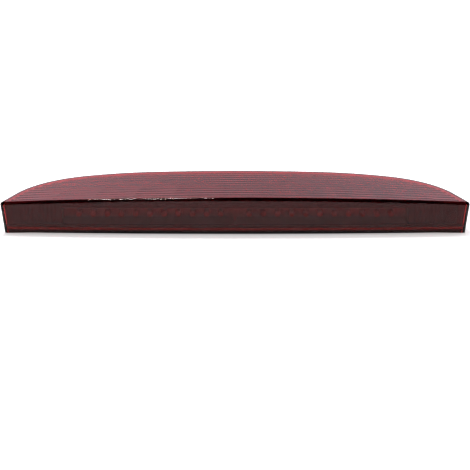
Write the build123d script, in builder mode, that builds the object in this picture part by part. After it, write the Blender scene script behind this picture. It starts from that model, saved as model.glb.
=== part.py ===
"""High-level (third) brake light for the top of a tailgate, in millimetres.

The lamp is a crescent-shaped red lens cap on a black base. The lit face looks along -Y and
bows outwards, the rear edge is a flat arch along +Y, and +Z is up. The top and the lens's lower
rim are arched across the width, as a vehicle's roof is. The origin is the middle of the flat
mounting plane, which is the underside of the foam seal.
"""

import os
from math import asin, degrees, radians, sqrt, tan

from build123d import *

os.makedirs("parts", exist_ok=True)

# Outer form.
width = 375.5  # between the two front corners, at the level of those corners
depth = 80.0  # from the line between the front corners to the middle of the rear edge
front_bow = 4.5  # how far the lit face bows out in front of that line
rear_radius = 2900.0  # nearly straight middle of the rear edge
shoulder_run = 115.0  # from a front corner in to where the rear edge starts to turn, along X
shoulder_radius, shoulder_turn = 240.0, 14.0  # first, easy turn of the rear edge, in degrees
haunch_radius, haunch_turn = 71.0, 55.0  # second, tight turn of the rear edge, in degrees
lens_top = 31.0  # highest point of the lens, on the centre line
top_crown = 5.0  # how much lower the top is at the corners
rim_height = 3.0  # lens's lower rim on the centre line
rim_crown = 2.75  # how much lower that rim is at the corners
draft = 4.0  # lean of the outer walls, in degrees
corner_round = 2.5  # upright front corners of the lens
edge_round = 2.3  # edge between the lens's top and its walls

# Lens.
wall = 2.5
rib_pitch, rib_height, rib_count = 6.5, 0.45, 11  # moulded light-spreading ribs under the top
rib_land = 0.15  # how far the valleys between the ribs stand off the ceiling
rib_root = 0.5  # how far a rib runs into the wall that it grows from
rib_margin = 3.5  # plain border between the ribs and the cap's inner walls

# Foam seals on the underside.
foam = 1.5
foam_width = 7.0
foam_setback = 0.3  # from the base's outer edge

# Base.
lens_gap = 0.15  # all round, between the lens's wall and the base's rim
floor_thickness = 2.5
base_wall, base_wall_top = 2.0, 8.0
bead_height, bead_depth, bead_bottom = 2.0, 0.9, 3.3  # sealing bead in the base's rim
bead_squeeze = 0.1  # how far the bead would reach into the lens, if the lens didn't press it flat
stiffener_width, stiffener_height = 1.6, 5.0
stiffener_xs = (-82.0, -30.0, 30.0, 82.0)
stiffener_front, stiffener_back = -12.0, 24.0
screw_boss_radius, low_boss_height = 3.8, 2.0
locator_xs = (-168.0, 168.0)  # blocks that the bezel's foot stands against
locator_size = (8.0, 3.0, 1.8)
locator_gap = 0.4

# Threaded inserts that the tailgate's screws go into.
insert_spacing, insert_y = 220.0, 8.0
insert_radius, insert_length, insert_bore = 3.5, 10.0, 2.1
insert_lip, insert_flange = 0.9, 0.8  # flange's reach and thickness
boss_wall, boss_cap = 2.6, 2.4
insert_seal_gap, insert_seal_width = 0.6, 4.0

# Lamp unit: bezel, reflector trough, board and diodes.
bezel_setback = 6.8  # bezel's front face behind the lens's outer face
bezel_thickness = 1.5
bezel_gap = 0.3  # to the lens, the base's rim and the baffle
bezel_end_wall, bezel_end_reach = 1.2, 8.0  # returns that close the lens's front corners
window_margin, window_height = 12.6, 14.7  # margin is past the last diode
collar = 1.5  # wall of the collar behind the window
led_z = 13.6
flute_pitch, flute_radius, flute_depth, flute_count = 3.1, 1.4, 0.5, 10
flute_border = 4.5  # plain strip between the window and the first flute
trough_gap, trough_depth, trough_shell = 0.25, 9.0, 1.2
trough_back_height, trough_end = 7.0, 2.0
divider_width, divider_setback = 2.5, 0.3
tab_width, tab_thickness = 9.0, 2.0
ear_z = 10.0
foot_x, foot_reach = 45.6, 4.25  # reach of a foot's screw behind the board
foot_setback = 4.5  # behind the trough's mouth
bezel_tab_gap, bezel_tab_reach = 6.5, 4.75
led_pitch, leds_per_side = 11.4, 11
led_radius, led_lip, led_flange, led_length = 2.5, 0.4, 1.0, 8.6
led_hole_clearance = 0.2
leg_radius, leg_spacing, leg_stub = 0.35, 2.54, 1.4
solder_radius, solder_height, solder_tip = 0.9, 1.1, 0.1  # tip is past the lead's radius
tail_solder_tip, tail_solder_height = 0.7, 0.8
board_thickness, board_height, board_end = 1.6, 11.0, 5.9
board_gap = 1.8  # between the trough's back and the board
board_rest_x, board_rest_size = 68.4, (6.0, 3.2)
board_boss_radius = 2.3
resistor_size = (3.2, 0.6, 1.6)  # along X, Y and Z
diode_size = (4.3, 2.2, 2.6)
suppressor_size = (4.6, 2.3, 3.6)
capacitor_radius, capacitor_length, capacitor_round = 3.15, 5.4, 0.5
body_chamfer = 0.35
# Places along the board, in diode pitches from the middle.
resistor_steps = (5.5, 6.5, 7.5, 8.5)
board_screw_steps = (1.5, leds_per_side + 0.5)
diode_step, suppressor_step, capacitor_step = 3.5, -2.5, 2.5

# Baffle, which keeps the diodes' light out of the lens's top.
baffle_setback, baffle_wall = 6.0, 1.5
baffle_headroom = 0.6  # under the lens's ribs
baffle_posts = [(-75.0, 22.0), (75.0, 22.0), (-150.0, -12.0), (150.0, -12.0)]
post_radius, pad_radius, pad_height = 3.5, 5.0, 2.0
head_gap, head_sink = 0.3, 0.2  # round a screw's head, and under the base's underside

# Screws: shank radius, head radius, head height.
board_screw = (0.9, 1.9, 1.4)
trough_screw = (1.2, 2.6, 1.8)
socket_screw = (1.0, 2.0, 1.4)
trough_screw_length, board_screw_length, socket_screw_length = 6.0, 4.0, 5.0
slot_depth, slot_reach, slot_width = 0.5, 0.6, 0.28  # cross recess, as shares of the head
head_rounding, tip_chamfer = 0.45, 0.4  # as shares of the head's height and the shank's radius

# Two-pin socket, its seal and its terminals.
socket_y = 6.0
socket_mouth = 0.5
socket_inner = (16.0, 8.0)
socket_depth = 12.0
socket_wall, socket_roof, socket_round = 2.0, 2.0, 1.5
socket_flange, socket_flange_width = 2.0, 3.5
socket_ear_x, socket_ear_radius = 16.5, 3.2
socket_clearance = 0.2  # in the base's opening
socket_seal_thickness, socket_seal_setback = 1.0, 0.5
socket_foam_gap, socket_foam_width, socket_foam_round = 0.5, 4.0, 3.0
key_width, key_depth = 2.0, 1.2
terminal_x, terminal_width, terminal_thickness = 3.6, 2.8, 0.8
terminal_tip, terminal_bend_z, terminal_bend, terminal_chamfer = 5.5, 17.0, 1.2, 0.7
tail_width, tail_length = 1.0, 1.0  # length past the board's front

# Breather.
vent_place = (60.0, 6.0)
vent_radius, membrane_radius, membrane_thickness = 2.0, 5.0, 0.3
vent_ring_radius, vent_ring_bore, vent_ring_height, vent_ring_chamfer = 5.8, 3.2, 1.3, 0.4

# Worked-out places.
corner_y = -(depth - front_bow) / 2
corner_z = lens_top - top_crown
rib_ceiling = lens_top - wall
floor_top = foam + floor_thickness
base_inset = wall + lens_gap
insert_flange_radius = insert_radius + insert_lip
insert_seal_hole = insert_flange_radius + insert_seal_gap
window_width = 2 * (leds_per_side * led_pitch + window_margin)
flute_start = window_width / 2 + flute_border + flute_radius
baffle_top = rib_ceiling - rib_height - baffle_headroom
baffle_opening = baffle_setback + baffle_wall + corner_z * tan(radians(draft)) + bezel_gap
bezel_back = bezel_setback + bezel_thickness
window_bow = front_bow * (1 - (window_width / width) ** 2)
trough_mouth = corner_y - window_bow + bezel_back + trough_gap
trough_back = trough_mouth + trough_depth
board_front = trough_back + trough_shell + board_gap
board_back = board_front + board_thickness
board_foot = led_z - board_height / 2
board_half_width = led_pitch * board_screw_steps[-1] + board_end
foot_screw_y = board_back + foot_reach
led_xs = [side * led_pitch * (k + 1) for side in (-1, 1) for k in range(leds_per_side)]
leg_xs = [x + side * leg_spacing / 2 for x in led_xs for side in (-1, 1)]
board_screw_xs = [side * led_pitch * step for side in (-1, 1) for step in board_screw_steps]
resistor_xs = [side * led_pitch * step for side in (-1, 1) for step in resistor_steps]
terminal_xs = (-terminal_x, terminal_x)
low_boss_top = floor_top + low_boss_height
trough_half_width = window_width / 2 + trough_end
ear_x = trough_half_width + tab_width / 2
bezel_tab_x = ear_x + tab_width + bezel_tab_gap
ear_y = trough_back + trough_shell - tab_width / 2
inserts = [(-insert_spacing / 2, insert_y), (insert_spacing / 2, insert_y)]
insert_boss_top = foam + insert_length + boss_cap
socket_outer = [side + 2 * socket_wall for side in socket_inner]
socket_plate = [side + 2 * socket_flange_width for side in socket_outer]
socket_ceiling = socket_mouth + socket_depth
socket_top = socket_ceiling + socket_roof
socket_seat = floor_top + socket_seal_thickness
post_screw_seat = foam + trough_screw[2] + head_sink
socket_ears = [(-socket_ear_x, socket_y), (socket_ear_x, socket_y)]
reach = width  # half-length of the tools that cut right through the lamp
arch_share = 0.55  # how far out an arch is drawn, as a share of the width
upright_share = 0.9  # an upright edge of the cap is at least this share of its height


def keep(part, name):
    """Names a finished piece and writes its file."""
    part.label = name
    export_step(part, f"parts/{name}.step")


def crown_radius(drop):
    """Radius of an arch that drops by `drop` from the centre line to the corners."""
    return ((width / 2) ** 2 + drop**2) / (2 * drop)


def arch_z(height, drop, x):
    """Height at x of an arched surface that is `height` high on the centre line."""
    radius = crown_radius(drop)
    return height - radius + sqrt(radius**2 - x**2)


def front_face_y(x, setback):
    """Y of the lit face's bow at x, moved back by `setback`."""
    return corner_y - front_bow * (1 - (2 * x / width) ** 2) + setback


def lamp_outline(inset):
    """Adds the crescent outline, moved in by `inset`, to the sketch that is open."""
    half = width / 2
    with BuildLine(mode=Mode.PRIVATE) as edge:
        rear_turn = degrees(asin((half - shoulder_run) / rear_radius))
        middle = JernArc((0, corner_y + depth), (1, 0), rear_radius, -rear_turn)
        shoulder = JernArc(middle @ 1, middle % 1, shoulder_radius, -shoulder_turn)
        haunch = JernArc(shoulder @ 1, shoulder % 1, haunch_radius, -haunch_turn)
        TangentArc(haunch @ 1, (half, corner_y), tangent=haunch % 1)
        mirror(about=Plane.YZ)
        ThreePointArc((-half, corner_y), (0, corner_y - front_bow), (half, corner_y))
    with BuildSketch(Plane.XY, mode=Mode.PRIVATE) as crescent:
        add(edge.line)
        make_face()
        if inset:
            offset(amount=-inset, kind=Kind.INTERSECTION, mode=Mode.REPLACE)
    add(crescent.sketch)


def inset_at(z):
    """How far the leaning outer wall stands inside the crescent outline at height z."""
    return (corner_z - z) * tan(radians(draft))


def leaning_block(inset, low, high, mode=Mode.ADD):
    """Adds a block whose wall is parallel to the lamp's outer wall and `inset` inside it."""
    with BuildSketch(Plane.XY.offset(high)) as upper:
        lamp_outline(inset + inset_at(high))
    with BuildSketch(Plane.XY.offset(low)) as lower:
        lamp_outline(inset + inset_at(low))
    loft([upper.sketch, lower.sketch], ruled=True, mode=mode)


def upright_block(inset, low, high, mode=Mode.ADD):
    """Adds a block with upright walls, `inset` inside the crescent outline."""
    with BuildSketch(Plane.XY.offset(low)) as base:
        lamp_outline(inset)
    extrude(base.sketch, amount=high - low, mode=mode)


def trim_arched(height, drop, above=False):
    """Cuts away what lies over an arched surface, or what lies under it to keep what is above."""
    far = width * arch_share
    edge_z = arch_z(height, drop, far)
    side_z = -lens_top if above else 2 * lens_top
    with BuildSketch(Plane.XZ) as profile:
        with BuildLine():
            ThreePointArc((-far, edge_z), (0, height), (far, edge_z))
            Polyline((far, edge_z), (far, side_z), (-far, side_z), (-far, edge_z))
        make_face()
    extrude(profile.sketch, amount=reach, both=True, mode=Mode.SUBTRACT)


def front_bow_band(near, far, half, low, high, mode=Mode.ADD):
    """Adds a wall that follows the lit face's bow, between two setbacks from that face."""
    with BuildSketch(Plane.XY.offset(low)) as band:
        with BuildLine():
            ThreePointArc(
                (-half, front_face_y(half, near)),
                (0, front_face_y(0, near)),
                (half, front_face_y(half, near)),
            )
            ThreePointArc(
                (-half, front_face_y(half, far)),
                (0, front_face_y(0, far)),
                (half, front_face_y(half, far)),
            )
            Line((-half, front_face_y(half, near)), (-half, front_face_y(half, far)))
            Line((half, front_face_y(half, near)), (half, front_face_y(half, far)))
        make_face()
    extrude(band.sketch, amount=high - low, mode=mode)


def along_y(x, y, z):
    """Place whose local +Z looks along -Y, the way that the lamp shines."""
    return Location((x, y, z), (90, 0, 0))


def from_behind(x, y, z):
    """Place whose local +Z looks along +Y, for what is driven in from behind the board."""
    return Location((x, y, z), (-90, 0, 0))


def low_box(x, y, z, size, mode=Mode.ADD):
    """A box standing on height z, centred on x and y."""
    with Locations((x, y, z)):
        Box(*size, align=(Align.CENTER, Align.CENTER, Align.MIN), mode=mode)


def low_cylinder(x, y, z, radius, height, mode=Mode.ADD):
    """A cylinder standing on height z, centred on x and y."""
    with Locations((x, y, z)):
        Cylinder(radius, height, align=(Align.CENTER, Align.CENTER, Align.MIN), mode=mode)


def screw(shank_radius, head_radius, head_height, length):
    """A pan-head screw with a cross recess: its seat is at the origin and it points along -Z."""
    with BuildPart(mode=Mode.PRIVATE) as fastener:
        Cylinder(head_radius, head_height, align=(Align.CENTER, Align.CENTER, Align.MIN))
        fillet(fastener.edges().sort_by(Axis.Z)[-1], head_height * head_rounding)
        Cylinder(shank_radius, length, align=(Align.CENTER, Align.CENTER, Align.MAX))
        chamfer(fastener.edges().sort_by(Axis.Z)[0], shank_radius * tip_chamfer)
        with Locations((0, 0, head_height)):
            for turn in (0, 90):
                Box(head_radius * 2 * slot_reach, head_radius * slot_width, head_height * 2 * slot_depth,
                    rotation=(0, 0, turn), mode=Mode.SUBTRACT)
    return fastener.part


# ---------------------------------------------------------------- outer lens
with BuildPart() as cap_inside:
    leaning_block(wall, -wall, lens_top)
    trim_arched(lens_top - wall, top_crown)

with BuildPart() as top_ribs:
    first_rib = corner_y + wall + rib_margin
    with BuildSketch(Plane.YZ):
        last_rib = first_rib + rib_count * rib_pitch
        valley = rib_ceiling - rib_land
        with BuildLine():
            for k in range(rib_count):
                start = first_rib + k * rib_pitch
                end = start + rib_pitch
                crest = ((start + end) / 2, rib_ceiling - rib_height)
                ThreePointArc((start, valley), crest, (end, valley))
            Polyline(
                (last_rib, valley),
                (last_rib, rib_ceiling + rib_root),
                (first_rib, rib_ceiling + rib_root),
                (first_rib, valley),
            )
        make_face()
    crown_centre = rib_ceiling - crown_radius(top_crown)
    revolve(
        axis=Axis((0, 0, crown_centre), (0, 1, 0)),
        revolution_arc=degrees(asin(width / 2 / crown_radius(top_crown))),
    )
    mirror(about=Plane.YZ)
    with BuildSketch(Plane.XY):
        lamp_outline(wall + rib_margin)
    extrude(amount=lens_top * 2, mode=Mode.INTERSECT)

with BuildPart() as outer_lens:
    leaning_block(0, -rim_crown, lens_top + rib_root)
    uprights = outer_lens.edges().filter_by(lambda e: e.bounding_box().size.Z > lens_top * upright_share)
    fillet(uprights.filter_by(lambda e: e.center().Y < corner_y + wall), corner_round)
    trim_arched(lens_top, top_crown)
    fillet(outer_lens.faces().sort_by(Axis.Z)[-1].edges(), edge_round)
    trim_arched(rim_height, rim_crown, above=True)
    add(cap_inside.part, mode=Mode.SUBTRACT)
    add(top_ribs.part)

keep(outer_lens.part, "outer_lens")

# ---------------------------------------------------------------- base and its seals
unit_screw_places = [
    (-ear_x, ear_y, ear_z + tab_thickness),
    (ear_x, ear_y, ear_z + tab_thickness),
    (-foot_x, foot_screw_y, low_boss_top + tab_thickness),
    (foot_x, foot_screw_y, low_boss_top + tab_thickness),
]
bezel_tab_y = front_face_y(bezel_tab_x, bezel_back) + bezel_tab_reach
for side in (-1, 1):
    unit_screw_places.append((side * bezel_tab_x, bezel_tab_y, low_boss_top + tab_thickness))

with BuildPart() as lens_seal:
    leaning_block(wall - bead_squeeze, bead_bottom, bead_bottom + bead_height)
    leaning_block(base_inset + bead_depth, bead_bottom, bead_bottom + bead_height,
                  mode=Mode.SUBTRACT)
    add(outer_lens.part, mode=Mode.SUBTRACT)

keep(lens_seal.part, "lens_seal")

with BuildPart() as base_housing:
    leaning_block(base_inset, foam, base_wall_top)
    leaning_block(base_inset + base_wall, floor_top, base_wall_top, mode=Mode.SUBTRACT)
    for x, y, seat in unit_screw_places:
        boss_height = seat - tab_thickness - floor_top
        low_cylinder(x, y, floor_top, screw_boss_radius, boss_height)
        low_cylinder(x, y, seat - trough_screw_length, trough_screw[0],
                     trough_screw_length, mode=Mode.SUBTRACT)
    for x, y in inserts:
        low_cylinder(x, y, floor_top, insert_radius + boss_wall, insert_boss_top - floor_top)
        low_cylinder(x, y, foam, insert_radius, insert_length, mode=Mode.SUBTRACT)
        low_cylinder(x, y, foam, insert_flange_radius, insert_flange, mode=Mode.SUBTRACT)
    for x, y in baffle_posts:
        low_cylinder(x, y, floor_top, pad_radius, pad_height)
        low_cylinder(x, y, foam, trough_screw[1] + head_gap, post_screw_seat - foam,
                     mode=Mode.SUBTRACT)
        low_cylinder(x, y, foam, trough_screw[0], floor_top + pad_height, mode=Mode.SUBTRACT)
    for x in stiffener_xs:
        low_box(x, (stiffener_front + stiffener_back) / 2, floor_top,
                (stiffener_width, stiffener_back - stiffener_front, stiffener_height))
    for x in locator_xs:
        block_y = front_face_y(x, bezel_back) + locator_gap + locator_size[1] / 2
        low_box(x, block_y, floor_top, locator_size)
    for x in (-board_rest_x, board_rest_x):
        low_box(x, (board_front + board_back) / 2, floor_top,
                (*board_rest_size, board_foot - floor_top))
    for x, y in socket_ears:
        low_cylinder(x, y, floor_top, socket_ear_radius, socket_seal_thickness)
        low_cylinder(x, y, socket_seat + socket_flange - socket_screw_length, socket_screw[0],
                     socket_screw_length, mode=Mode.SUBTRACT)
    low_box(0, socket_y, foam, (socket_outer[0] + 2 * socket_clearance,
                                socket_outer[1] + 2 * socket_clearance, base_wall_top),
            mode=Mode.SUBTRACT)
    low_cylinder(*vent_place, foam, vent_radius, base_wall_top, mode=Mode.SUBTRACT)
    add(lens_seal.part, mode=Mode.SUBTRACT)

keep(base_housing.part, "base_housing")

with BuildPart() as base_gasket:
    gasket_edge = base_inset + inset_at(foam) + foam_setback
    upright_block(gasket_edge, 0, foam)
    upright_block(gasket_edge + foam_width, 0, foam, mode=Mode.SUBTRACT)

keep(base_gasket.part, "base_gasket")

with BuildPart() as insert_seals:
    for x, y in inserts:
        low_cylinder(x, y, 0, insert_seal_hole + insert_seal_width, foam)
        low_cylinder(x, y, 0, insert_seal_hole, foam, mode=Mode.SUBTRACT)

keep(insert_seals.part, "insert_seals")

with BuildPart() as socket_foam:
    foam_hole = [side + 2 * (socket_clearance + socket_foam_gap) for side in socket_outer]
    foam_edge = [side + 2 * socket_foam_width for side in foam_hole]
    low_box(0, socket_y, 0, (*foam_edge, foam))
    fillet(socket_foam.edges().filter_by(Axis.Z), socket_foam_round)
    low_box(0, socket_y, 0, (*foam_hole, foam), mode=Mode.SUBTRACT)

keep(socket_foam.part, "socket_foam")

with BuildPart() as threaded_inserts:
    for x, y in inserts:
        low_cylinder(x, y, foam, insert_radius, insert_length)
        low_cylinder(x, y, foam, insert_flange_radius, insert_flange)
        low_cylinder(x, y, foam, insert_bore, insert_length, mode=Mode.SUBTRACT)

keep(threaded_inserts.part, "threaded_inserts")

with BuildPart() as vent_membrane:
    low_cylinder(*vent_place, floor_top, membrane_radius, membrane_thickness)

keep(vent_membrane.part, "vent_membrane")

with BuildPart() as vent_ring:
    low_cylinder(*vent_place, floor_top, vent_ring_radius, vent_ring_height)
    chamfer(vent_ring.edges().sort_by(Axis.Z)[-1], vent_ring_chamfer)
    low_cylinder(*vent_place, floor_top, vent_ring_bore, vent_ring_height, mode=Mode.SUBTRACT)
    low_cylinder(*vent_place, floor_top, membrane_radius, membrane_thickness,
                 mode=Mode.SUBTRACT)

keep(vent_ring.part, "vent_ring")

# ---------------------------------------------------------------- two-pin socket
with BuildPart() as connector_socket:
    low_box(0, socket_y, socket_mouth, (*socket_outer, socket_top - socket_mouth))
    fillet(connector_socket.edges().filter_by(Axis.Z), socket_round)
    low_box(0, socket_y, socket_seat, (*socket_plate, socket_flange))
    for x, y in socket_ears:
        low_cylinder(x, y, socket_seat, socket_ear_radius, socket_flange)
        inwards = x * (1 - socket_ear_radius / 2 / abs(x))
        low_box(inwards, y, socket_seat, (socket_ear_radius, 2 * socket_ear_radius, socket_flange))
        low_cylinder(x, y, socket_seat, socket_screw[0], socket_flange, mode=Mode.SUBTRACT)
    low_box(0, socket_y, socket_mouth, (*socket_inner, socket_depth), mode=Mode.SUBTRACT)
    low_box(0, socket_y + (socket_inner[1] - key_depth) / 2, socket_mouth,
            (key_width, key_depth, socket_depth))
    for x in terminal_xs:
        low_box(x, socket_y, socket_ceiling, (terminal_width, terminal_thickness, socket_roof),
                mode=Mode.SUBTRACT)

keep(connector_socket.part, "connector_socket")

with BuildPart() as socket_seal:
    seal_edge = [side - 2 * socket_seal_setback for side in socket_plate]
    seal_hole = [side + 2 * socket_clearance for side in socket_outer]
    low_box(0, socket_y, floor_top, (*seal_edge, socket_seal_thickness))
    low_box(0, socket_y, floor_top, (*seal_hole, socket_seal_thickness), mode=Mode.SUBTRACT)

keep(socket_seal.part, "socket_seal")

with BuildPart() as socket_screws:
    with Locations([(x, y, socket_seat + socket_flange) for x, y in socket_ears]):
        add(screw(*socket_screw, socket_screw_length))

keep(socket_screws.part, "socket_screws")


def terminal(x):
    """A flat pin: a blade in the socket, bent over to run forward to the board."""
    with BuildPart(mode=Mode.PRIVATE) as pin:
        with BuildSketch(Plane.YZ.offset(x)):
            with BuildLine():
                FilletPolyline(
                    (socket_y, terminal_tip),
                    (socket_y, terminal_bend_z),
                    (board_back, terminal_bend_z),
                    radius=terminal_bend,
                )
            trace(line_width=terminal_thickness)
        extrude(amount=terminal_width / 2, both=True)
        tip = pin.edges().filter_by(Axis.Y).group_by(Axis.Z)[0]
        chamfer(tip, terminal_chamfer)
        with Locations((x, board_back, terminal_bend_z)):
            Box(tail_width, board_thickness + tail_length, terminal_thickness,
                align=(Align.CENTER, Align.MAX, Align.CENTER))
    return pin.part


with BuildPart() as terminal_supply:
    add(terminal(terminal_x))

keep(terminal_supply.part, "terminal_supply")

with BuildPart() as terminal_ground:
    add(terminal(-terminal_x))

keep(terminal_ground.part, "terminal_ground")

# ---------------------------------------------------------------- bezel
with BuildPart() as bezel_room:
    leaning_block(base_inset + base_wall + bezel_gap, floor_top, lens_top)
    leaning_block(wall + bezel_gap, base_wall_top + bezel_gap, lens_top)
    trim_arched(baffle_top - baffle_wall - bezel_gap, top_crown)

with BuildPart() as bezel_ends:
    leaning_block(wall + bezel_gap, base_wall_top + bezel_gap, lens_top)
    leaning_block(wall + bezel_gap + bezel_end_wall, base_wall_top + bezel_gap, lens_top,
                  mode=Mode.SUBTRACT)
    trim_arched(rib_ceiling - bezel_gap, top_crown)
    low_box(0, corner_y + bezel_back + reach / 2, 0, (2 * reach, reach, lens_top),
            mode=Mode.SUBTRACT)
    between_ends = width - 2 * (wall + bezel_gap + bezel_end_reach)
    low_box(0, corner_y, 0, (between_ends, reach, lens_top), mode=Mode.SUBTRACT)

with BuildPart() as bezel:
    front_bow_band(bezel_setback, bezel_back, width / 2, floor_top, lens_top)
    add(bezel_room.part, mode=Mode.INTERSECT)
    collar_back = trough_mouth - trough_gap
    collar_front = front_face_y(0, bezel_setback)
    with Locations((0, collar_front, led_z)):
        Box(window_width + 2 * collar, collar_back - collar_front, window_height + 2 * collar,
            align=(Align.CENTER, Align.MIN, Align.CENTER))
    front_bow_band(bezel_setback - 2 * front_bow, bezel_setback, width / 2,
                   0, lens_top, mode=Mode.SUBTRACT)
    add(bezel_ends.part)
    with Locations((0, 0, led_z)):
        Box(window_width, reach, window_height, mode=Mode.SUBTRACT)
    for side in (-1, 1):
        for k in range(flute_count):
            x = side * (flute_start + k * flute_pitch)
            groove_y = front_face_y(x, bezel_setback) + flute_depth - flute_radius
            low_cylinder(x, groove_y, floor_top, flute_radius, lens_top, mode=Mode.SUBTRACT)
        tab_front = front_face_y(bezel_tab_x, bezel_setback + bezel_thickness / 2)
        tab_end = bezel_tab_y + tab_width / 2
        low_box(side * bezel_tab_x, (tab_front + tab_end) / 2, low_boss_top,
                (tab_width, tab_end - tab_front, tab_thickness))
        low_cylinder(side * bezel_tab_x, bezel_tab_y, low_boss_top, trough_screw[0],
                     tab_thickness, mode=Mode.SUBTRACT)

keep(bezel.part, "bezel")

# ---------------------------------------------------------------- baffle
with BuildPart() as baffle_inside:
    leaning_block(baffle_setback + baffle_wall, floor_top, lens_top)
    trim_arched(baffle_top - baffle_wall, top_crown)

with BuildPart() as baffle_front:
    front_bow_band(-front_bow, baffle_opening, width, floor_top, lens_top)
    trim_arched(baffle_top - baffle_wall, top_crown)

with BuildPart() as light_baffle:
    leaning_block(baffle_setback, floor_top, lens_top)
    trim_arched(baffle_top, top_crown)
    add(baffle_inside.part, mode=Mode.SUBTRACT)
    add(baffle_front.part, mode=Mode.SUBTRACT)
    for x, y in baffle_posts:
        post_foot = floor_top + pad_height
        post_top = arch_z(baffle_top, top_crown, abs(x) + post_radius) - baffle_wall / 2
        low_cylinder(x, y, post_foot, post_radius, post_top - post_foot)
        low_cylinder(x, y, post_foot, trough_screw[0],
                     post_screw_seat + trough_screw_length - post_foot, mode=Mode.SUBTRACT)

keep(light_baffle.part, "light_baffle")

# ---------------------------------------------------------------- reflector trough
mouth_half, back_half = window_height / 2, trough_back_height / 2

with BuildPart() as reflector_trough:
    with BuildSketch(Plane.YZ):
        Polygon(
            (trough_mouth, led_z - mouth_half - trough_shell),
            (trough_back + trough_shell, led_z - back_half - trough_shell),
            (trough_back + trough_shell, led_z + back_half + trough_shell),
            (trough_mouth, led_z + mouth_half + trough_shell),
            align=None,
        )
    extrude(amount=trough_half_width, both=True)
    with BuildSketch(Plane.YZ):
        Polygon(
            (trough_mouth, led_z - mouth_half),
            (trough_back, led_z - back_half),
            (trough_back, led_z + back_half),
            (trough_mouth, led_z + mouth_half),
            align=None,
        )
    extrude(amount=window_width / 2, both=True, mode=Mode.SUBTRACT)
    with BuildSketch(Plane.YZ):
        Polygon(
            (trough_mouth + divider_setback, led_z - mouth_half),
            (trough_back, led_z - back_half - trough_shell / 2),
            (trough_back, led_z + back_half + trough_shell / 2),
            (trough_mouth + divider_setback, led_z + mouth_half),
            align=None,
        )
    extrude(amount=divider_width / 2, both=True)
    with Locations([from_behind(x, trough_back + trough_shell, led_z) for x in board_screw_xs]):
        Cylinder(board_boss_radius, board_gap, align=(Align.CENTER, Align.CENTER, Align.MIN))
    for side in (-1, 1):
        low_box(side * ear_x, ear_y, ear_z, (tab_width, tab_width, tab_thickness))
        low_cylinder(side * ear_x, ear_y, ear_z, trough_screw[0], tab_thickness,
                     mode=Mode.SUBTRACT)
        foot_front = trough_mouth + foot_setback
        foot_end = foot_screw_y + tab_width / 2
        low_box(side * foot_x, (foot_front + foot_end) / 2, low_boss_top,
                (tab_width, foot_end - foot_front, tab_thickness))
        low_cylinder(side * foot_x, foot_screw_y, low_boss_top, trough_screw[0],
                     tab_thickness, mode=Mode.SUBTRACT)
    with Locations([along_y(x, trough_back, led_z) for x in led_xs]):
        Cylinder(led_radius + led_hole_clearance, 3 * trough_shell, mode=Mode.SUBTRACT)
    with Locations([from_behind(x, board_back, led_z) for x in board_screw_xs]):
        Cylinder(board_screw[0], board_screw_length,
                 align=(Align.CENTER, Align.CENTER, Align.MAX), mode=Mode.SUBTRACT)

keep(reflector_trough.part, "reflector_trough")

# ---------------------------------------------------------------- board and what it carries
with BuildPart() as led_board:
    with Locations((0, board_front, led_z)):
        Box(2 * board_half_width, board_thickness, board_height,
            align=(Align.CENTER, Align.MIN, Align.CENTER))
    with Locations([from_behind(x, board_back, led_z) for x in board_screw_xs]):
        Cylinder(board_screw[0], 2 * board_thickness, mode=Mode.SUBTRACT)
    with Locations([from_behind(x, board_back, led_z) for x in leg_xs]):
        Cylinder(leg_radius, 2 * board_thickness, mode=Mode.SUBTRACT)
    with Locations([(x, board_back, terminal_bend_z) for x in terminal_xs]):
        Box(tail_width, 2 * board_thickness, terminal_thickness, mode=Mode.SUBTRACT)

keep(led_board.part, "led_board")

with BuildPart() as led_row:
    led_seat = trough_back + trough_shell
    dome_centre = led_length - led_flange - led_radius
    with Locations([along_y(x, led_seat, led_z) for x in led_xs]):
        Cylinder(led_radius + led_lip, led_flange, align=(Align.CENTER, Align.CENTER, Align.MAX))
        Cylinder(led_radius, dome_centre, align=(Align.CENTER, Align.CENTER, Align.MIN))
    with Locations([along_y(x, led_seat - dome_centre, led_z) for x in led_xs]):
        Sphere(led_radius)

keep(led_row.part, "led_row")

with BuildPart() as led_legs:
    leg_start = led_seat + led_flange
    leg_length = board_back + leg_stub - leg_start
    with Locations([from_behind(x, leg_start, led_z) for x in leg_xs]):
        Cylinder(leg_radius, leg_length, align=(Align.CENTER, Align.CENTER, Align.MIN))

keep(led_legs.part, "led_legs")

with BuildPart() as solder_joints:
    with Locations([from_behind(x, board_back, led_z) for x in leg_xs]):
        Cone(solder_radius, leg_radius + solder_tip, solder_height,
             align=(Align.CENTER, Align.CENTER, Align.MIN))
    with Locations([along_y(x, board_front, terminal_bend_z) for x in terminal_xs]):
        Cone(solder_radius, tail_solder_tip, tail_solder_height,
             align=(Align.CENTER, Align.CENTER, Align.MIN))
    add(led_legs.part, mode=Mode.SUBTRACT)
    with Locations([(x, board_front, terminal_bend_z) for x in terminal_xs]):
        Box(tail_width, 2 * board_thickness, terminal_thickness, mode=Mode.SUBTRACT)

keep(solder_joints.part, "solder_joints")


def chip(size):
    """A block-shaped component on the board's rear, `size` along X, Y and Z."""
    Box(size[0], size[2], size[1], align=(Align.CENTER, Align.CENTER, Align.MIN))


with BuildPart() as resistors:
    with Locations([from_behind(x, board_back, led_z) for x in resistor_xs]):
        chip(resistor_size)

keep(resistors.part, "resistors")

with BuildPart() as blocking_diode:
    with Locations(from_behind(led_pitch * diode_step, board_back, led_z)):
        chip(diode_size)
    chamfer(blocking_diode.edges().group_by(Axis.Y)[-1], body_chamfer)

keep(blocking_diode.part, "blocking_diode")

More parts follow.
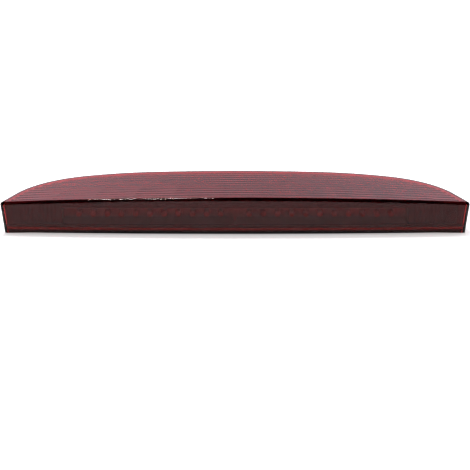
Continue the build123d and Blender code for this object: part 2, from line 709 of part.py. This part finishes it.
with BuildPart() as surge_suppressor:
    with Locations(from_behind(led_pitch * suppressor_step, board_back, led_z)):
        chip(suppressor_size)
    chamfer(surge_suppressor.edges().group_by(Axis.Y)[-1], body_chamfer)

keep(surge_suppressor.part, "surge_suppressor")

with BuildPart() as filter_capacitor:
    with Locations(from_behind(led_pitch * capacitor_step, board_back, led_z)):
        Cylinder(capacitor_radius, capacitor_length,
                 align=(Align.CENTER, Align.CENTER, Align.MIN))
    fillet(filter_capacitor.edges().sort_by(Axis.Y)[-1], capacitor_round)

keep(filter_capacitor.part, "filter_capacitor")

with BuildPart() as board_screws:
    with Locations([from_behind(x, board_back, led_z) for x in board_screw_xs]):
        add(screw(*board_screw, board_screw_length))

keep(board_screws.part, "board_screws")

with BuildPart() as unit_screws:
    with Locations(unit_screw_places):
        add(screw(*trough_screw, trough_screw_length))
    with Locations([Location((x, y, post_screw_seat), (180, 0, 0)) for x, y in baffle_posts]):
        add(screw(*trough_screw, trough_screw_length))

keep(unit_screws.part, "unit_screws")
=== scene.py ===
"""Looks of the third brake light: materials, a few fine pieces, studio and camera."""

import math

import bmesh
import bpy
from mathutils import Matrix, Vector


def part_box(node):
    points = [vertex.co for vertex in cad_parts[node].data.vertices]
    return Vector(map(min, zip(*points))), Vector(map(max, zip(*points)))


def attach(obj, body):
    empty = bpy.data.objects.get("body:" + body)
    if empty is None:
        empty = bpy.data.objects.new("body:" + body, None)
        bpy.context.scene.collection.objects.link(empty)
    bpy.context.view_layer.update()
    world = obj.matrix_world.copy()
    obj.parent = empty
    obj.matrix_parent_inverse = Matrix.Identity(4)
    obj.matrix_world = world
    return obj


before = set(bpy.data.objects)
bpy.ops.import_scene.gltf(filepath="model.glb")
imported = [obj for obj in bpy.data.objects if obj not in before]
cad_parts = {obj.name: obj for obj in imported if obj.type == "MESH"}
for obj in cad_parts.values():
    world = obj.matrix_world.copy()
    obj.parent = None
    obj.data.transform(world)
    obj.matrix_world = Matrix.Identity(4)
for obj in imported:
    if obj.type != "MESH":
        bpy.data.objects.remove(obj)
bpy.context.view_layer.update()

MM = 0.001

# Camera: elevation over the mounting plane, distance to the middle of the lit face's top edge.
CAMERA_ELEVATION = math.radians(16.5)
CAMERA_DISTANCE = 1.0
CAMERA_LENS = 97.2
SENSOR_WIDTH = 36.0
CAMERA_SHIFT = (0.0, -0.078)

# Diodes: how many there are on each side of the middle, and what shows inside each dome.
LEDS_PER_SIDE = 11
CUP_RADIUS, CUP_FLOOR, CUP_DEPTH = 0.95 * MM, 0.45 * MM, 0.6 * MM
DIE_SIZE = 0.35 * MM
CUP_SIDES = 24
CUP_PLACE = 1.7  # the cup's mouth behind the dome's tip, as a share of the diode's radius
CUP_FLARE, CUP_BACK = 1.05, 1.6  # the cup's outer wall, over its mouth and its depth

# Studio.
SWEEP_COLOUR = (1.0, 0.89, 0.98, 1.0)
SWEEP_MIDDLE, SWEEP_SIDES, SWEEP_GAIN = 0.04, 0.36, 1.45  # brighter to both sides
SWEEP_TOP, SWEEP_REAR = (0.42, 0.72), (0.35, -0.15)  # where it fades out, upwards and forwards
FLOOR_SIZE = 12.0
FLOOR_GLOW = (0.5, 1.1)  # near the lamp and far out
FLOOR_FADE = (0.35, 1.6)  # how far out each of the two is reached
VIEW_GAMMA = 0.78

# Lens: what it lets through per metre, as one colour and one density.
LENS_TINT = (0.938, 0.022, 0.2, 1.0)
LENS_DENSITY = 1600.0
CROWN_RADIUS = 3.53
RIB_ROUGHNESS = 0.32
FROST_DEPTHS = (1.2 * MM, 3.4 * MM)  # under the lens's top surface
FROST_SETBACK = 8.0 * MM
TRACK_PITCH = 2.1 * MM
# FACING_FORWARD picks the baffle's forward-facing rim, which gets painted shade.
FACING_FORWARD = -0.5  # a face looks forward where its normal's Y is below this
SEALANT_DARK, SEALANT_LIGHT = (0.55, 0.53, 0.5), (0.7, 0.68, 0.64)


# ---------------------------------------------------------------- node helpers
class Graph:
    """A material's node tree, with short ways to add and join its nodes."""

    def __init__(self, name):
        self.material = bpy.data.materials.new(name)
        self.material.use_nodes = True
        self.nodes = self.material.node_tree.nodes
        self.links = self.material.node_tree.links
        self.shader = self.nodes["Principled BSDF"]
        self.output = self.nodes["Material Output"]
        self.place = self.add("ShaderNodeTexCoord").outputs["Object"]

    def add(self, kind, **settings):
        node = self.nodes.new(kind)
        for key, value in settings.items():
            setattr(node, key, value)
        return node

    def join(self, source, target):
        self.links.new(source, target)

    def fixed(self, **values):
        """Sets plain numbers and colours on the shader's own sockets."""
        for key, value in values.items():
            self.shader.inputs[key.replace("_", " ")].default_value = value

    def scaled(self, scale):
        """The object's own coordinates, scaled by one number or by three."""
        node = self.add("ShaderNodeMapping")
        factor = scale if isinstance(scale, tuple) else (scale, scale, scale)
        node.inputs["Scale"].default_value = factor
        self.join(self.place, node.inputs["Vector"])
        return node.outputs["Vector"]

    def noise(self, scale, detail=3.0, roughness=0.5):
        node = self.add("ShaderNodeTexNoise")
        self.join(self.scaled(scale), node.inputs["Vector"])
        node.inputs["Scale"].default_value = 1.0
        node.inputs["Detail"].default_value = detail
        node.inputs["Roughness"].default_value = roughness
        return node.outputs["Fac"]

    def cells(self, scale):
        node = self.add("ShaderNodeTexVoronoi")
        self.join(self.scaled(scale), node.inputs["Vector"])
        node.inputs["Scale"].default_value = 1.0
        return node.outputs["Distance"]

    def math(self, operation, first, second=None):
        node = self.add("ShaderNodeMath", operation=operation)
        for socket, value in zip(node.inputs, (first, second)):
            if value is None:
                continue
            if isinstance(value, (int, float)):
                socket.default_value = value
            else:
                self.join(value, socket)
        return node.outputs[0]

    def axis(self, letter, vector=None):
        """One part of a vector, or of the object's own coordinates if none is given."""
        node = self.add("ShaderNodeSeparateXYZ")
        self.join(self.place if vector is None else vector, node.inputs[0])
        return node.outputs[letter]

    def ramp(self, source, low, high, start=0.3, end=0.7):
        """Maps a value, from start to end, to a colour or a number between low and high."""
        if isinstance(low, tuple):
            node = self.add("ShaderNodeValToRGB")
            node.color_ramp.elements[0].position = start
            node.color_ramp.elements[1].position = end
            node.color_ramp.elements[0].color = (*low, 1.0)
            node.color_ramp.elements[1].color = (*high, 1.0)
            self.join(source, node.inputs["Fac"])
            return node.outputs["Color"]
        node = self.add("ShaderNodeMapRange")
        node.inputs["From Min"].default_value = start
        node.inputs["From Max"].default_value = end
        node.inputs["To Min"].default_value = low
        node.inputs["To Max"].default_value = high
        self.join(source, node.inputs["Value"])
        return node.outputs["Result"]

    def mix(self, factor, first, second):
        node = self.add("ShaderNodeMix", data_type="RGBA")
        self.join(factor, node.inputs["Factor"])
        for socket, value in ((node.inputs[6], first), (node.inputs[7], second)):
            if isinstance(value, tuple):
                socket.default_value = (*value, 1.0)
            else:
                self.join(value, socket)
        return node.outputs[2]

    def drive(self, socket_name, source):
        self.join(source, self.shader.inputs[socket_name])

    def bump(self, height, distance):
        """Adds a bump at full strength, over any bump that is already there."""
        node = self.add("ShaderNodeBump")
        node.inputs["Strength"].default_value = 1.0
        node.inputs["Distance"].default_value = distance
        self.join(height, node.inputs["Height"])
        before = self.shader.inputs["Normal"].links
        if before:
            self.join(before[0].from_socket, node.inputs["Normal"])
        self.join(node.outputs["Normal"], self.shader.inputs["Normal"])


# ---------------------------------------------------------------- materials
def smoked_lens():
    g = Graph("smoked_red_lens")
    g.fixed(Base_Color=(0.96, 0.9, 0.9, 1.0), IOR=1.46, Transmission_Weight=1.0)
    tint = g.add("ShaderNodeVolumeAbsorption")
    tint.inputs["Color"].default_value = LENS_TINT
    tint.inputs["Density"].default_value = LENS_DENSITY
    g.join(tint.outputs[0], g.output.inputs["Volume"])
    film = g.ramp(g.noise(60.0, detail=4.0), 0.015, 0.05)
    g.drive("Roughness", g.math("MAXIMUM", film, under_the_top(g)))
    g.bump(g.noise(2500.0, detail=2.0), 0.000002)
    return g.material


def under_the_top(g):
    """RIB_ROUGHNESS on the ribbed underside of the lens's top, which is frosted, and 0 elsewhere."""
    low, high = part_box("outer_lens")
    bend = g.math("MULTIPLY", g.math("POWER", g.axis("X"), 2.0), 0.5 / CROWN_RADIUS)
    depth = g.math("SUBTRACT", high[2], g.math("ADD", g.axis("Z"), bend))
    frosted = g.math("MULTIPLY", g.math("GREATER_THAN", depth, FROST_DEPTHS[0]),
                     g.math("LESS_THAN", depth, FROST_DEPTHS[1]))
    behind = g.math("GREATER_THAN", g.axis("Y"), low[1] + FROST_SETBACK)
    return g.math("MULTIPLY", g.math("MULTIPLY", frosted, behind), RIB_ROUGHNESS)


def plastic_graph(name, colour, roughness, grain, spread=1.7):
    """Plastic with a spark-eroded grain. `grain` is its height in metres, `spread` its mottling."""
    g = Graph(name)
    cloud = g.noise(90.0, detail=4.0)
    lighter = tuple(c * spread + 0.004 for c in colour)
    g.drive("Base Color", g.ramp(cloud, colour, lighter))
    g.drive("Roughness", g.ramp(g.noise(400.0), roughness - 0.08, roughness + 0.1))
    g.bump(g.noise(3200.0, detail=4.0, roughness=0.6), grain)
    g.bump(g.noise(55.0, detail=2.0), grain * 2.0)
    return g


def moulded_plastic(*look):
    return plastic_graph(*look).material


def baffle_with_painted_shade(pale, mask):
    """Pale grey plastic whose forward-facing rim carries painted shade: it is painted near-black, so
    that it doesn't show.
    """
    g = plastic_graph("baffle_grey", pale, 0.7, 0.00002, spread=1.1)
    normal = g.add("ShaderNodeTexCoord").outputs["Normal"]
    # Painted shade: faces that look forward get the near-black colour instead of the pale grey.
    forward = g.math("LESS_THAN", g.axis("Y", normal), FACING_FORWARD)
    plain = g.shader.inputs["Base Color"].links[0].from_socket
    g.drive("Base Color", g.mix(forward, plain, mask))
    return g.material


def closed_cell_foam():
    g = Graph("closed_cell_foam")
    cells = g.cells(2300.0)
    g.drive("Base Color", g.ramp(cells, (0.012, 0.012, 0.013), (0.05, 0.05, 0.053), 0.1, 0.7))
    g.drive("Roughness", g.ramp(cells, 0.95, 0.75, 0.1, 0.7))
    g.bump(cells, 0.00018)
    g.bump(g.noise(240.0, detail=3.0), 0.00012)
    return g.material


def soft_rubber():
    g = Graph("seal_rubber")
    g.drive("Base Color", g.ramp(g.noise(150.0), (0.012, 0.012, 0.012), (0.028, 0.027, 0.027)))
    g.drive("Roughness", g.ramp(g.noise(700.0), 0.55, 0.75))
    g.bump(g.noise(1500.0), 0.00002)
    return g.material


def sealing_silicone():
    """Pale cured bead, which shows as a bright line through the lens's lower rim."""
    g = Graph("sealing_silicone")
    g.drive("Base Color", g.ramp(g.noise(200.0), SEALANT_DARK, SEALANT_LIGHT))
    g.drive("Roughness", g.ramp(g.noise(700.0), 0.4, 0.6))
    g.bump(g.noise(900.0), 0.00003)
    return g.material


def turned_metal(name, dark, light, roughness, stretch):
    """Metal with fine tool marks; `stretch` says along which axes they are close together."""
    g = Graph(name)
    marks = g.noise(stretch, detail=5.0, roughness=0.7)
    g.drive("Base Color", g.ramp(marks, dark, light))
    g.fixed(Metallic=1.0)
    g.drive("Roughness", g.ramp(g.noise(900.0), roughness - 0.07, roughness + 0.12))
    g.bump(marks, 0.00001)
    return g.material


def reflector_coating():
    g = Graph("reflector_coating")
    cloud = g.noise(120.0, detail=4.0)
    g.drive("Base Color", g.ramp(cloud, (0.2, 0.19, 0.19), (0.27, 0.26, 0.26)))
    g.fixed(Metallic=0.35)
    g.drive("Roughness", g.ramp(g.noise(500.0), 0.3, 0.45))
    g.bump(g.noise(900.0, detail=3.0), 0.00002)
    return g.material


def circuit_board():
    g = Graph("circuit_board")
    mask = g.ramp(g.noise(260.0), (0.012, 0.1, 0.035), (0.02, 0.15, 0.06))
    line = g.math("FRACT", g.math("MULTIPLY", g.axis("Z"), 1.0 / TRACK_PITCH))
    track = g.math("COMPARE", line, 0.5)
    g.drive("Base Color", g.mix(track, mask, (0.03, 0.22, 0.09)))
    g.drive("Roughness", g.ramp(g.noise(600.0), 0.22, 0.35))
    g.bump(track, 0.00003)
    return g.material


def led_epoxy():
    g = Graph("led_epoxy")
    g.fixed(Base_Color=(0.85, 0.34, 0.3, 1.0), IOR=1.52, Transmission_Weight=0.45)
    g.drive("Roughness", g.ramp(g.noise(800.0), 0.04, 0.1))
    return g.material


def chip_body(name, colour):
    g = Graph(name)
    g.drive("Base Color", g.ramp(g.noise(1800.0), colour, tuple(c * 1.8 for c in colour)))
    g.drive("Roughness", g.ramp(g.noise(2500.0), 0.45, 0.65))
    g.bump(g.noise(4000.0), 0.00001)
    return g.material


def breather_film():
    g = Graph("breather_film")
    weave = g.cells(5000.0)
    g.drive("Base Color", g.ramp(weave, (0.62, 0.62, 0.6), (0.86, 0.86, 0.84), 0.0, 0.8))
    g.drive("Roughness", g.ramp(weave, 0.7, 0.9))
    g.bump(weave, 0.00004)
    return g.material


def dress(node, material):
    """Gives a CAD node its material."""
    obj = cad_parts[node]
    obj.data.materials.clear()
    obj.data.materials.append(material)


black = moulded_plastic("moulded_black", (0.009, 0.009, 0.01), 0.5, 0.00003)
bezel_black = moulded_plastic("bezel_black", (0.007, 0.006, 0.0065), 0.42, 0.00002)
# The baffle's near-black second colour is painted shade on its forward-facing rim.
baffle_grey = baffle_with_painted_shade((0.64, 0.62, 0.62), (0.02, 0.02, 0.02))
foam = closed_cell_foam()
rubber = soft_rubber()
brass = turned_metal("turned_brass", (0.55, 0.36, 0.13), (0.78, 0.56, 0.25), 0.28,
                     (300.0, 300.0, 9000.0))
zinc = turned_metal("zinc_plate", (0.5, 0.5, 0.49), (0.72, 0.72, 0.73), 0.3,
                    (3000.0, 300.0, 3000.0))
tin = turned_metal("tin_plate", (0.6, 0.59, 0.57), (0.78, 0.77, 0.75), 0.25,
                   (400.0, 400.0, 6000.0))
solder = turned_metal("solder", (0.55, 0.55, 0.56), (0.8, 0.8, 0.81), 0.18,
                      (900.0, 900.0, 900.0))
can = turned_metal("drawn_can", (0.6, 0.6, 0.62), (0.8, 0.8, 0.82), 0.3,
                   (200.0, 6000.0, 200.0))
chip = chip_body("chip_epoxy", (0.012, 0.012, 0.013))
ceramic = chip_body("resistor_body", (0.02, 0.02, 0.022))

FINISHES = {
    "outer_lens": smoked_lens(),
    "base_housing": black,
    "connector_socket": black,
    "vent_ring": black,
    "lens_seal": sealing_silicone(),
    "socket_seal": rubber,
    "base_gasket": foam,
    "insert_seals": foam,
    "socket_foam": foam,
    "threaded_inserts": brass,
    "bezel": bezel_black,
    "light_baffle": baffle_grey,
    "reflector_trough": reflector_coating(),
    "led_board": circuit_board(),
    "led_row": led_epoxy(),
    "led_legs": tin,
    "solder_joints": solder,
    "resistors": ceramic,
    "blocking_diode": chip,
    "surge_suppressor": chip,
    "filter_capacitor": can,
    "board_screws": zinc,
    "unit_screws": zinc,
    "socket_screws": zinc,
    "terminal_supply": tin,
    "terminal_ground": tin,
    "vent_membrane": breather_film(),
}
for node, material in FINISHES.items():
    dress(node, material)


# ---------------------------------------------------------------- what shows inside each diode
def diode_cups(diodes):
    """A polished cup with a square die in it, facing -Y inside each diode's dome."""
    low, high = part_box("led_row")
    radius = (high[2] - low[2]) / 2
    pitch = (high[0] - low[0] - 2 * radius) / (2 * diodes)
    middle = (low[2] + high[2]) / 2
    mouth = low[1] + radius * CUP_PLACE
    mesh = bmesh.new()
    for side in (-1, 1):
        for k in range(1, diodes + 1):
            x = side * pitch * k
            rings = []
            for ring_radius, y in ((CUP_RADIUS, mouth), (CUP_FLOOR, mouth + CUP_DEPTH),
                                   (CUP_RADIUS * CUP_FLARE, mouth + CUP_DEPTH * CUP_BACK)):
                ring = []
                for turn in range(CUP_SIDES):
                    angle = 2 * math.pi * turn / CUP_SIDES
                    ring.append(mesh.verts.new((x + ring_radius * math.cos(angle), y,
                                                middle + ring_radius * math.sin(angle))))
                rings.append(ring)
            for first, second in ((rings[0], rings[1]), (rings[2], rings[0])):
                for turn in range(CUP_SIDES):
                    after = (turn + 1) % CUP_SIDES
                    mesh.faces.new((first[turn], first[after], second[after], second[turn]))
            mesh.faces.new(rings[1])
            mesh.faces.new(rings[2])
            die = bmesh.ops.create_cube(mesh, size=DIE_SIZE)
            bmesh.ops.translate(mesh, vec=(x, mouth + CUP_DEPTH - DIE_SIZE / 2, middle),
                                verts=die["verts"])
    bmesh.ops.recalc_face_normals(mesh, faces=mesh.faces)
    data = bpy.data.meshes.new("diode_cups")
    mesh.to_mesh(data)
    mesh.free()
    obj = bpy.data.objects.new("diode_cups", data)
    bpy.context.scene.collection.objects.link(obj)
    data.materials.append(tin)
    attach(obj, "root")


diode_cups(LEDS_PER_SIDE)


# ---------------------------------------------------------------- studio
def studio_world(behind, dark):
    """A bright sweep low down behind the lamp, and a dark room overhead and in front."""
    world = bpy.data.worlds.new("studio")
    bpy.context.scene.world = world
    world.use_nodes = True
    tree = world.node_tree
    background = tree.nodes["Background"]
    place = tree.nodes.new("ShaderNodeTexCoord")
    split = tree.nodes.new("ShaderNodeSeparateXYZ")
    tree.links.new(place.outputs["Generated"], split.inputs[0])

    def number(operation, *sources):
        node = tree.nodes.new("ShaderNodeMath")
        node.operation = operation
        for source, socket in zip(sources, node.inputs):
            tree.links.new(source, socket)
        return node.outputs[0]

    def ranged(source, start, end, low, high, shape="LINEAR"):
        node = tree.nodes.new("ShaderNodeMapRange")
        node.interpolation_type = shape
        node.inputs["From Min"].default_value = start
        node.inputs["From Max"].default_value = end
        node.inputs["To Min"].default_value = low
        node.inputs["To Max"].default_value = high
        tree.links.new(source, node.inputs["Value"])
        return node.outputs["Result"]

    upwards = ranged(split.outputs["Z"], *SWEEP_TOP, 1.0, 0.0, "SMOOTHSTEP")
    forwards = ranged(split.outputs["Y"], *SWEEP_REAR, 1.0, 0.0, "SMOOTHSTEP")
    strength = ranged(number("MULTIPLY", upwards, forwards), 0.0, 1.0, dark, behind)
    across = number("ABSOLUTE", split.outputs["X"])
    gain = ranged(across, SWEEP_MIDDLE, SWEEP_SIDES, 1.0, SWEEP_GAIN)
    tree.links.new(number("MULTIPLY", strength, gain), background.inputs["Strength"])
    background.inputs["Color"].default_value = SWEEP_COLOUR


def floor():
    """A wide, pale, matt floor at the height of the mounting plane, lit from within far out."""
    bpy.ops.mesh.primitive_plane_add(size=FLOOR_SIZE, location=(0.0, 0.0, 0.0))
    plane = bpy.context.object
    plane.name = "floor"
    g = Graph("pale_floor")
    g.fixed(Base_Color=(0.9, 0.9, 0.9, 1.0), Roughness=0.9)
    g.fixed(Emission_Color=(1.0, 1.0, 1.0, 1.0))
    length = g.add("ShaderNodeVectorMath", operation="LENGTH")
    g.join(g.place, length.inputs[0])
    g.drive("Emission Strength", g.ramp(length.outputs["Value"], *FLOOR_GLOW, *FLOOR_FADE))
    plane.data.materials.append(g.material)


def soft_light(name, place, target, size, power, mirrored=True, through=True):
    """A panel of light. It may be kept out of reflections, or out of what shows through glass."""
    light = bpy.data.lights.new(name, "AREA")
    light.shape = "RECTANGLE"
    light.size, light.size_y = size
    light.energy = power
    obj = bpy.data.objects.new(name, light)
    bpy.context.scene.collection.objects.link(obj)
    obj.location = place
    obj.rotation_euler = (Vector(target) - Vector(place)).to_track_quat("-Z", "Y").to_euler()
    obj.visible_glossy = mirrored
    obj.visible_transmission = through


def camera():
    low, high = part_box("outer_lens")
    target = Vector((0.0, low[1], high[2]))
    back = Vector((0.0, -math.cos(CAMERA_ELEVATION), math.sin(CAMERA_ELEVATION)))
    data = bpy.data.cameras.new("camera")
    data.lens = CAMERA_LENS
    data.sensor_width = SENSOR_WIDTH
    data.shift_x, data.shift_y = CAMERA_SHIFT
    obj = bpy.data.objects.new("camera", data)
    bpy.context.scene.collection.objects.link(obj)
    obj.location = target + back * CAMERA_DISTANCE
    obj.rotation_euler = (-back).to_track_quat("-Z", "Y").to_euler()
    bpy.context.scene.camera = obj


studio_world(behind=0.8, dark=0.04)
floor()
soft_light("overhead", place=(0.0, 0.2, 1.3), target=(0.0, 0.0, 0.0), size=(1.8, 1.6),
           power=13.5, mirrored=False)
soft_light("edge_strip", place=(-0.17, 0.25, 1.0), target=(-0.17, -0.04, 0.0), size=(0.26, 0.22),
           power=6.0, through=False)
camera()
bpy.context.scene.view_settings.view_transform = "Standard"
bpy.context.scene.view_settings.gamma = VIEW_GAMMA
